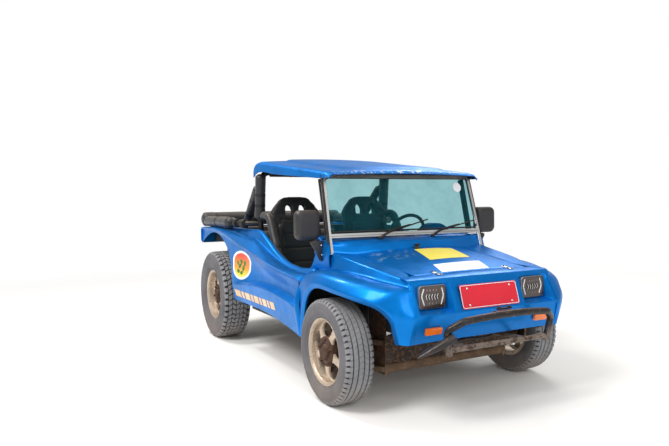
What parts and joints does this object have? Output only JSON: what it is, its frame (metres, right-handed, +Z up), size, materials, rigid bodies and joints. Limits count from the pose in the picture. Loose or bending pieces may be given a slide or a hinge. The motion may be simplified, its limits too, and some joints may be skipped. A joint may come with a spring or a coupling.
{
  "type": "beach buggy car",
  "caption": "Open glass-fibre beach buggy with hard top, padded rails, raised wings, steered front wheels and an engine behind the rear axle.",
  "frame": {"origin": "on the ground, in the middle of the outer box", "axes": "X to the vehicle's left, Y to its rear, Z up"},
  "size_m": [1.58, 3.3, 1.48],
  "materials": {
    "blue_body": "metallic blue gel coat on moulded glass fibre, dusty",
    "tub": "black textured tub paint",
    "chassis": "worn black paint with rust",
    "steel_black": "black paint",
    "pads": "black vinyl over foam",
    "seats": "black vinyl",
    "alloy": "satin, dusty",
    "rim": "machined, dusty",
    "drum": "rusty",
    "tyre": "dusty rubber",
    "shock": "black paint",
    "exhaust": "heat-stained steel",
    "glass": "clear, slightly dusty",
    "lamp": "dark lens with bright bars",
    "amber": "amber lens",
    "red_lens": "red lens",
    "plate": "red, blank",
    "plastic": "black"
  },
  "bodies": {
    "root": {"cockpit_sides": "tub", "controls": "steel_black", "cowl": "blue_body", "dash": "blue_body", "engine": "alloy", "exhaust": "exhaust", "floor_pan": "chassis", "front_arms": "chassis", "front_bar": "chassis", "front_beam": "chassis", "front_plate": "plate", "front_shocks": "shock", "front_tray": "tub", "front_wings": "blue_body", "gearbox": "alloy", "grab_rail": "pads", "headlamps": "lamp", "hoop_pads": "pads", "indicators": "amber", "mirrors": "plastic", "nose": "blue_body", "rear_axle": "chassis", "rear_bench": "seats", "rear_quarters": "blue_body", "rear_shocks": "shock", "rear_torsion": "chassis", "rear_tub": "tub", "roll_hoop": "steel_black", "roof": "blue_body", "roof_posts": "steel_black", "screen_frame": "alloy", "screen_glass": "glass", "seats": "seats", "side_panels": "blue_body", "steering_column": "steel_black", "tail_lamps": "red_lens", "tail_panel": "blue_body", "tail_roll": "pads", "toe_board": "tub", "wipers": "plastic"},
    "knuckle_left": {"knuckle_left": "chassis"},
    "knuckle_right": {"knuckle_right": "chassis"},
    "tie_rod": {"tie_rod": "chassis"},
    "steering": {"steering_wheel": "plastic"},
    "hood": {"hood_lid": "blue_body"},
    "wheel_front_left": {"tyre_front_left": "tyre", "rim_front_left": "rim", "drum_front_left": "drum"},
    "wheel_front_right": {"tyre_front_right": "tyre", "rim_front_right": "rim", "drum_front_right": "drum"},
    "wheel_rear_left": {"tyre_rear_left": "tyre", "rim_rear_left": "rim", "drum_rear_left": "drum"},
    "wheel_rear_right": {"tyre_rear_right": "tyre", "rim_rear_right": "rim", "drum_rear_right": "drum"}
  },
  "joints": [
    {"name": "steer_right", "type": "hinge", "parent": "root", "child": "knuckle_right", "pos_m": [-0.584, -0.96, 0.298], "axis": [0, 0, 1], "range_deg": [-28, 28]},
    {"name": "steer_left", "type": "hinge", "parent": "root", "child": "knuckle_left", "pos_m": [0.584, -0.96, 0.298], "axis": [0, 0, 1], "range_deg": [-28.5, 28.5]},
    {"name": "steering_wheel_turn", "type": "hinge", "parent": "root", "child": "steering", "pos_m": [0.33, -0.209, 0.894], "axis": [0, 0.9063, 0.4226], "range_deg": [-396, 396]},
    {"name": "tie_rod_shift", "type": "slide", "parent": "root", "child": "tie_rod", "axis": [1, 0, 0], "range_m": [-0.058, 0.058]},
    {"name": "hood_hinge", "type": "hinge", "parent": "root", "child": "hood", "pos_m": [0, -1.342, 0.744], "axis": [1, 0, 0], "range_deg": [0, 70]},
    {"name": "front_left_spin", "type": "hinge", "parent": "knuckle_left", "child": "wheel_front_left", "pos_m": [0.683, -0.96, 0.298], "axis": [1, 0, 0], "continuous": true},
    {"name": "front_right_spin", "type": "hinge", "parent": "knuckle_right", "child": "wheel_front_right", "pos_m": [-0.683, -0.96, 0.298], "axis": [1, 0, 0], "continuous": true},
    {"name": "rear_left_spin", "type": "hinge", "parent": "root", "child": "wheel_rear_left", "pos_m": [0.674, 1.095, 0.367], "axis": [1, 0, 0], "continuous": true},
    {"name": "rear_right_spin", "type": "hinge", "parent": "root", "child": "wheel_rear_right", "pos_m": [-0.674, 1.095, 0.367], "axis": [1, 0, 0], "continuous": true}
  ],
  "couplings": [
    {"joint": "steer_left", "follows": "steer_right", "ratio": 1},
    {"joint": "steering_wheel_turn", "follows": "steer_right", "ratio": 14},
    {"joint": "tie_rod_shift", "follows": "steer_right", "m_per_rad": -0.114}
  ]
}
